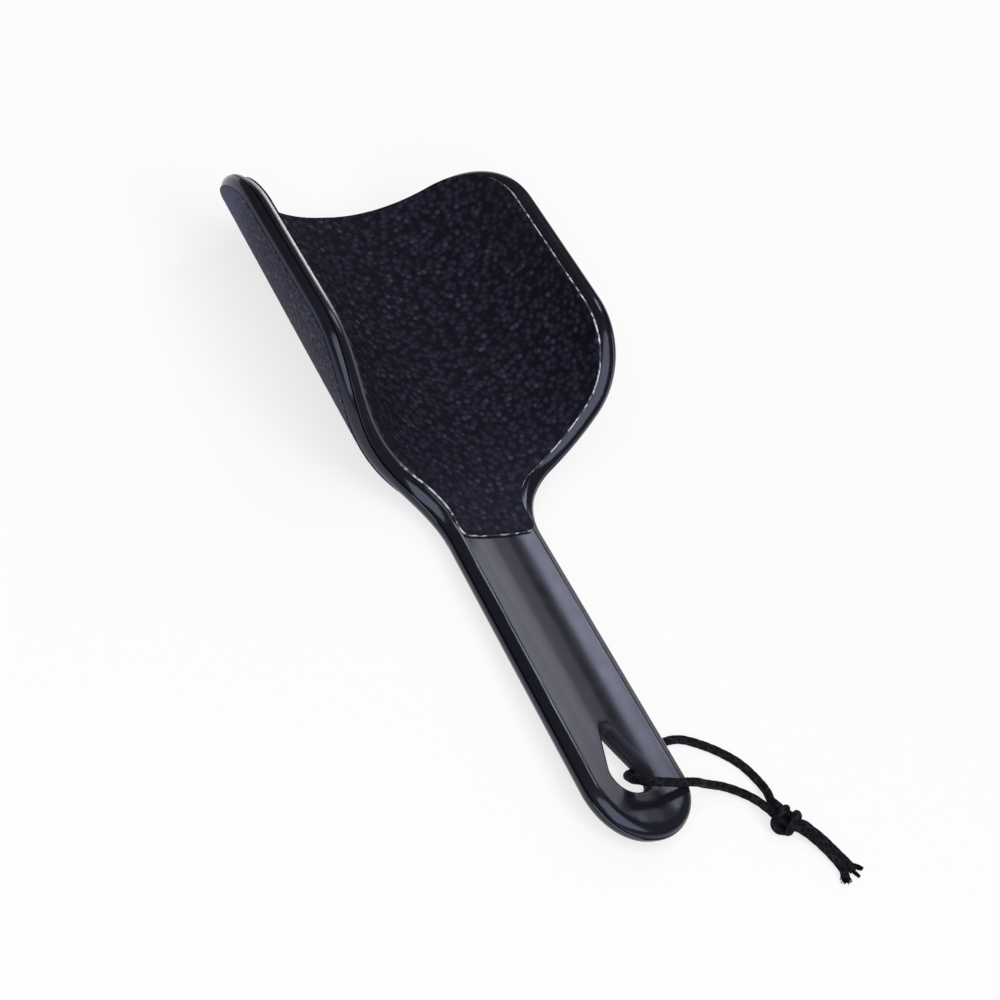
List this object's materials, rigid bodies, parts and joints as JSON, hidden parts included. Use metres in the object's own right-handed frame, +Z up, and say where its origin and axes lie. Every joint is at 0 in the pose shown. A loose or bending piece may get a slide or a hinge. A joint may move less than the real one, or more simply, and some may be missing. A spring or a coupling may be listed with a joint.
{
  "type": "foot file",
  "caption": "Black curved paddle foot file with an abrasive pad on each face, a rounded handle and a knotted hanging cord.",
  "frame": {"origin": "on the ground under the middle of the paddle, as it lies on its back", "axes": "+Y from the handle's end to the head's top, +X across the head, +Z up out of the hollow face"},
  "size_m": [0.1212, 0.2588, 0.0444],
  "materials": {
    "moulding": "satin to gloss black moulding",
    "foam": "pale grey foam, matte",
    "grit": "coarse dark grit with bright grains",
    "cord": "braided black cord"
  },
  "bodies": {
    "root": {"front_shell": "moulding", "back_shell": "moulding", "front_pad_foam": "foam", "front_abrasive_sheet": "grit", "back_pad_foam": "foam", "back_abrasive_sheet": "grit", "lanyard_loop": "cord", "lanyard_knot": "cord", "lanyard_front_tail": "cord", "lanyard_back_tail": "cord"}
  },
  "joints": []
}
